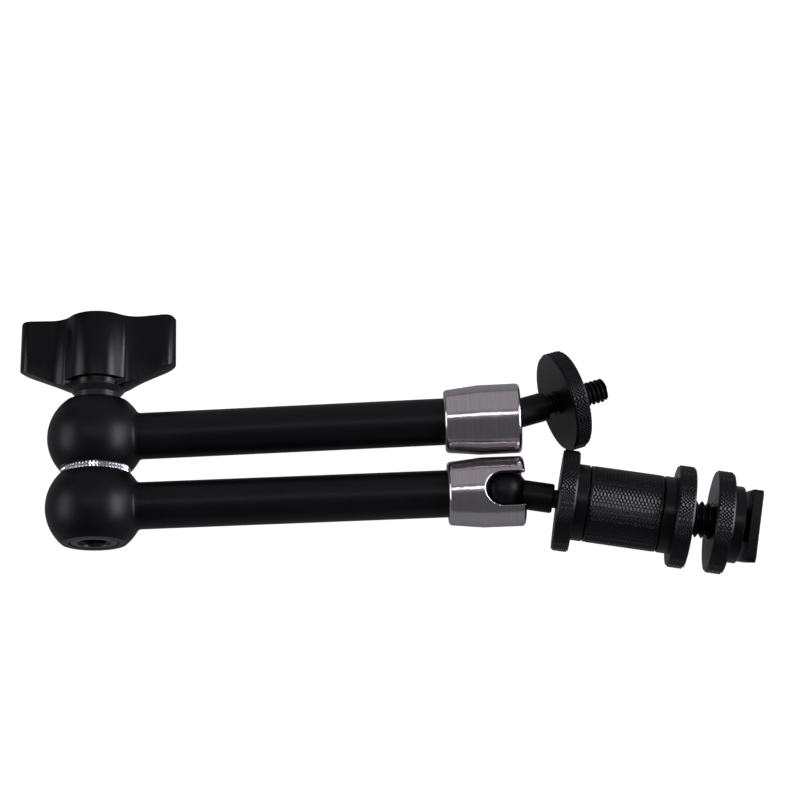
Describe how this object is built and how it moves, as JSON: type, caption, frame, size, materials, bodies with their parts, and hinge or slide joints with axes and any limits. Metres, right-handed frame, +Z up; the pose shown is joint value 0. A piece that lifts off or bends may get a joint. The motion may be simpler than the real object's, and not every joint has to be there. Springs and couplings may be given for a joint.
{
  "type": "articulating friction arm",
  "caption": "Folding friction arm: two tubes on a central elbow locked by a wing knob, slotted ball ends, a camera stud with lock disc and a knurled shoe adapter.",
  "frame": {"origin": "under the middle of the folded arm, on the surface it lies on", "axes": "+X along the lower arm towards the shoe foot, +Y along the elbow pivot towards the knob, +Z up from the surface the arm lies on"},
  "size_m": [0.1946, 0.0764, 0.0283],
  "materials": {
    "black_anodised": "fine blasted, satin black anodised",
    "black_gloss": "smooth glossy black anodised",
    "black_knurled": "diamond knurled, black anodised",
    "black_steel": "black oxide",
    "stainless": "satin with fine scratches",
    "bright_steel": "bright, serrated",
    "brass": "machined"
  },
  "bodies": {
    "lower_arm": {"lower_arm": "black_anodised", "lower_collar": "stainless", "lower_friction_disc": "bright_steel"},
    "clamp_bolt": {"clamp_bolt": "black_steel", "lower_wedge": "brass"},
    "lower_rod": {"lower_push_rod": "bright_steel", "lower_ball_seat": "black_steel"},
    "upper_arm": {"upper_arm": "black_anodised", "upper_collar": "stainless", "upper_friction_disc": "bright_steel"},
    "upper_wedge": {"upper_wedge": "black_steel", "thrust_washer": "bright_steel"},
    "upper_rod": {"upper_push_rod": "bright_steel", "upper_ball_seat": "black_steel"},
    "knob": {"wing_knob": "black_gloss", "knob_nut": "brass"},
    "lower_stud": {"lower_ball_stud": "black_steel"},
    "lower_disc": {"lower_lock_disc": "black_knurled"},
    "barrel": {"barrel": "black_knurled"},
    "shoe": {"shoe_post": "black_steel", "shoe_foot": "black_anodised"},
    "barrel_disc": {"barrel_lock_disc": "black_knurled"},
    "shoe_disc": {"shoe_lock_disc": "black_knurled"},
    "upper_stud": {"upper_ball_stud": "black_steel"},
    "upper_disc": {"upper_lock_disc": "black_knurled"}
  },
  "joints": [
    {"name": "elbow_pivot", "type": "hinge", "parent": "lower_arm", "child": "upper_arm", "pos_m": [-0.07617, -0.0138, 0.0128], "axis": [0, 1, 0], "continuous": true},
    {"name": "upper_wedge_travel", "type": "slide", "parent": "upper_arm", "child": "upper_wedge", "axis": [0, 1, 0], "range_m": [0, 0.000375]},
    {"name": "knob_turn", "type": "hinge", "parent": "upper_wedge", "child": "knob", "pos_m": [-0.07617, -0.0138, 0.0128], "axis": [0, 1, 0], "range_deg": [0, 270]},
    {"name": "upper_rod_travel", "type": "slide", "parent": "upper_arm", "child": "upper_rod", "axis": [-0.9995, 0, -0.031], "range_m": [0, 0.00038]},
    {"name": "clamp_bolt_travel", "type": "slide", "parent": "lower_arm", "child": "clamp_bolt", "axis": [0, -1, 0], "range_m": [0, 0.00038]},
    {"name": "lower_rod_travel", "type": "slide", "parent": "lower_arm", "child": "lower_rod", "axis": [-1, 0, 0], "range_m": [0, 0.00038]},
    {"name": "lower_ball_swing", "type": "hinge", "parent": "lower_arm", "child": "lower_stud", "pos_m": [0.03063, -0.0138, 0.0128], "axis": [0.1608, -0.9661, 0.2021], "range_deg": [-14, 90]},
    {"name": "upper_ball_swing", "type": "hinge", "parent": "upper_arm", "child": "upper_stud", "pos_m": [0.03057, 0.0051, 0.01611], "axis": [0.2406, 0.9576, -0.1581], "range_deg": [-6, 86]},
    {"name": "lower_disc_turn", "type": "hinge", "parent": "lower_stud", "child": "lower_disc", "pos_m": [0.04729, -0.01711, 0.01342], "axis": [0.9803, -0.1942, 0.0364], "continuous": true},
    {"name": "barrel_turn", "type": "hinge", "parent": "lower_stud", "child": "barrel", "pos_m": [0.06003, -0.01963, 0.01389], "axis": [0.9803, -0.1942, 0.0364], "continuous": true},
    {"name": "shoe_turn", "type": "hinge", "parent": "barrel", "child": "shoe", "pos_m": [0.07474, -0.02255, 0.01444], "axis": [0.9803, -0.1942, 0.0364], "continuous": true},
    {"name": "barrel_disc_turn", "type": "hinge", "parent": "shoe", "child": "barrel_disc", "pos_m": [0.07572, -0.02274, 0.01448], "axis": [0.9803, -0.1942, 0.0364], "continuous": true},
    {"name": "shoe_disc_travel", "type": "slide", "parent": "shoe", "child": "shoe_disc", "axis": [0.9803, -0.1942, 0.0364], "range_m": [-0.005, 0.0012]},
    {"name": "upper_disc_travel", "type": "slide", "parent": "upper_stud", "child": "upper_disc", "axis": [0.9503, 0.2773, -0.1417], "range_m": [-0.0021, 0.005]}
  ],
  "couplings": [
    {"joint": "knob_turn", "follows": "upper_wedge_travel", "rad_per_m": 12566},
    {"joint": "upper_rod_travel", "follows": "upper_wedge_travel", "ratio": 1},
    {"joint": "clamp_bolt_travel", "follows": "upper_wedge_travel", "ratio": 1},
    {"joint": "lower_rod_travel", "follows": "upper_wedge_travel", "ratio": 1}
  ]
}
